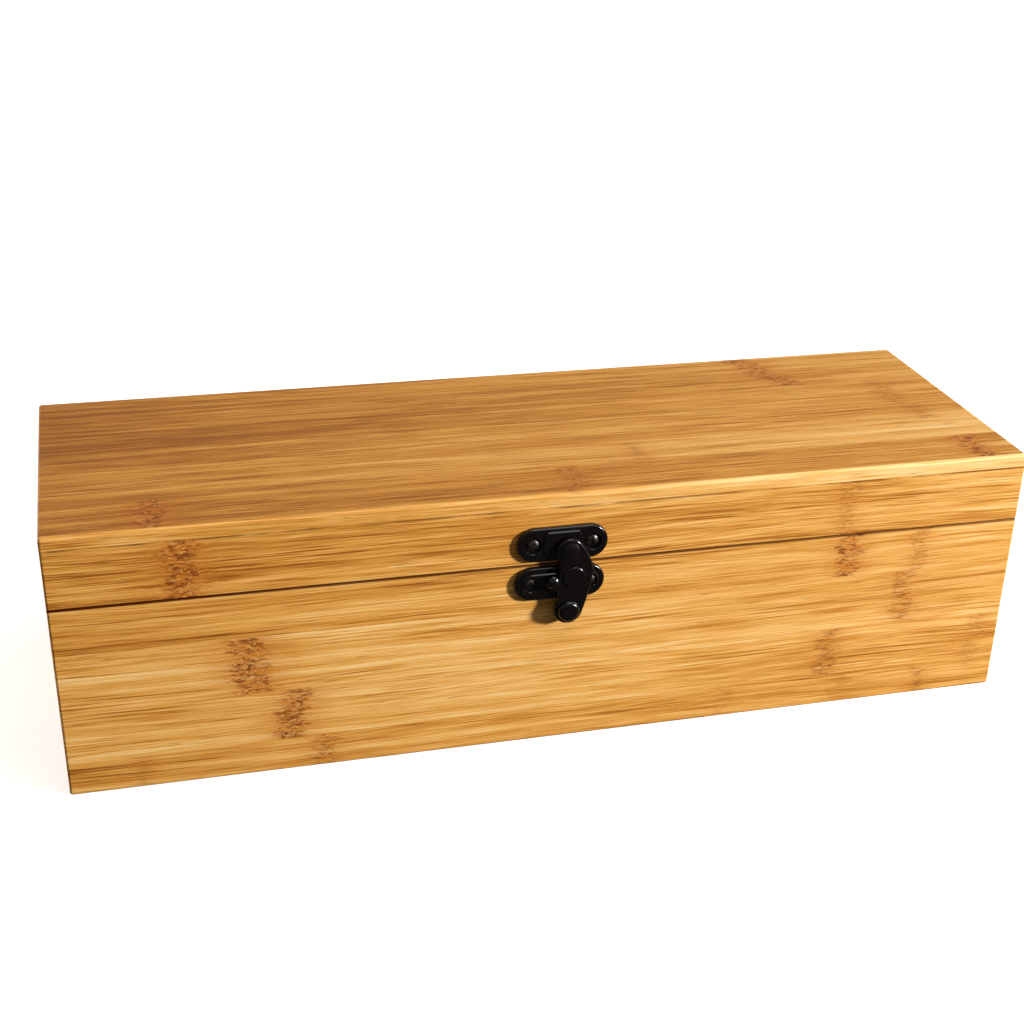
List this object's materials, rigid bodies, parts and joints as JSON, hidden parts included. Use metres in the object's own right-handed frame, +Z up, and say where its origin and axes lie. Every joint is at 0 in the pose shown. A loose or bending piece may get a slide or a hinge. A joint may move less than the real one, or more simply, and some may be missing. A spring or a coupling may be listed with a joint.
{
  "type": "hinged wooden box",
  "caption": "Long bamboo box with a rear-hinged lid, rounded top edges and a black swing hook latch on the front.",
  "frame": {"origin": "centre of the box's underside, without the latch and the hinges", "axes": "+X along the length to the right of the front face, -Y out of the front face, +Z up"},
  "size_m": [0.355, 0.1297, 0.0995],
  "materials": {
    "bamboo": "clear satin varnish",
    "black_metal": "gloss black",
    "black_screws": "gloss black"
  },
  "bodies": {
    "base": {"base_front_wall": "bamboo", "base_right_wall": "bamboo", "base_back_wall": "bamboo", "base_left_wall": "bamboo", "base_floor": "bamboo", "left_hinge_base_leaf": "black_metal", "left_hinge_pin": "black_metal", "right_hinge_base_leaf": "black_metal", "right_hinge_pin": "black_metal", "base_latch_plate": "black_metal", "latch_stud": "black_metal", "base_hinge_screws": "black_screws", "base_latch_screws": "black_screws"},
    "lid": {"lid_front_rail": "bamboo", "lid_right_rail": "bamboo", "lid_back_rail": "bamboo", "lid_left_rail": "bamboo", "lid_top_board": "bamboo", "left_hinge_lid_leaf": "black_metal", "right_hinge_lid_leaf": "black_metal", "lid_hinge_screws": "black_screws", "lid_latch_plate": "black_metal", "lid_latch_screws": "black_screws", "hook_rivet": "black_metal"},
    "hook": {"latch_hook": "black_metal"}
  },
  "joints": [
    {"name": "lid_hinge", "type": "hinge", "parent": "base", "child": "lid", "pos_m": [0, 0.0618, 0.073], "axis": [-1, 0, 0], "range_deg": [0, 180]},
    {"name": "hook_swing", "type": "hinge", "parent": "lid", "child": "hook", "pos_m": [-0.0006, -0.06, 0.07875], "axis": [0, -1, 0], "range_deg": [0, 180]}
  ]
}
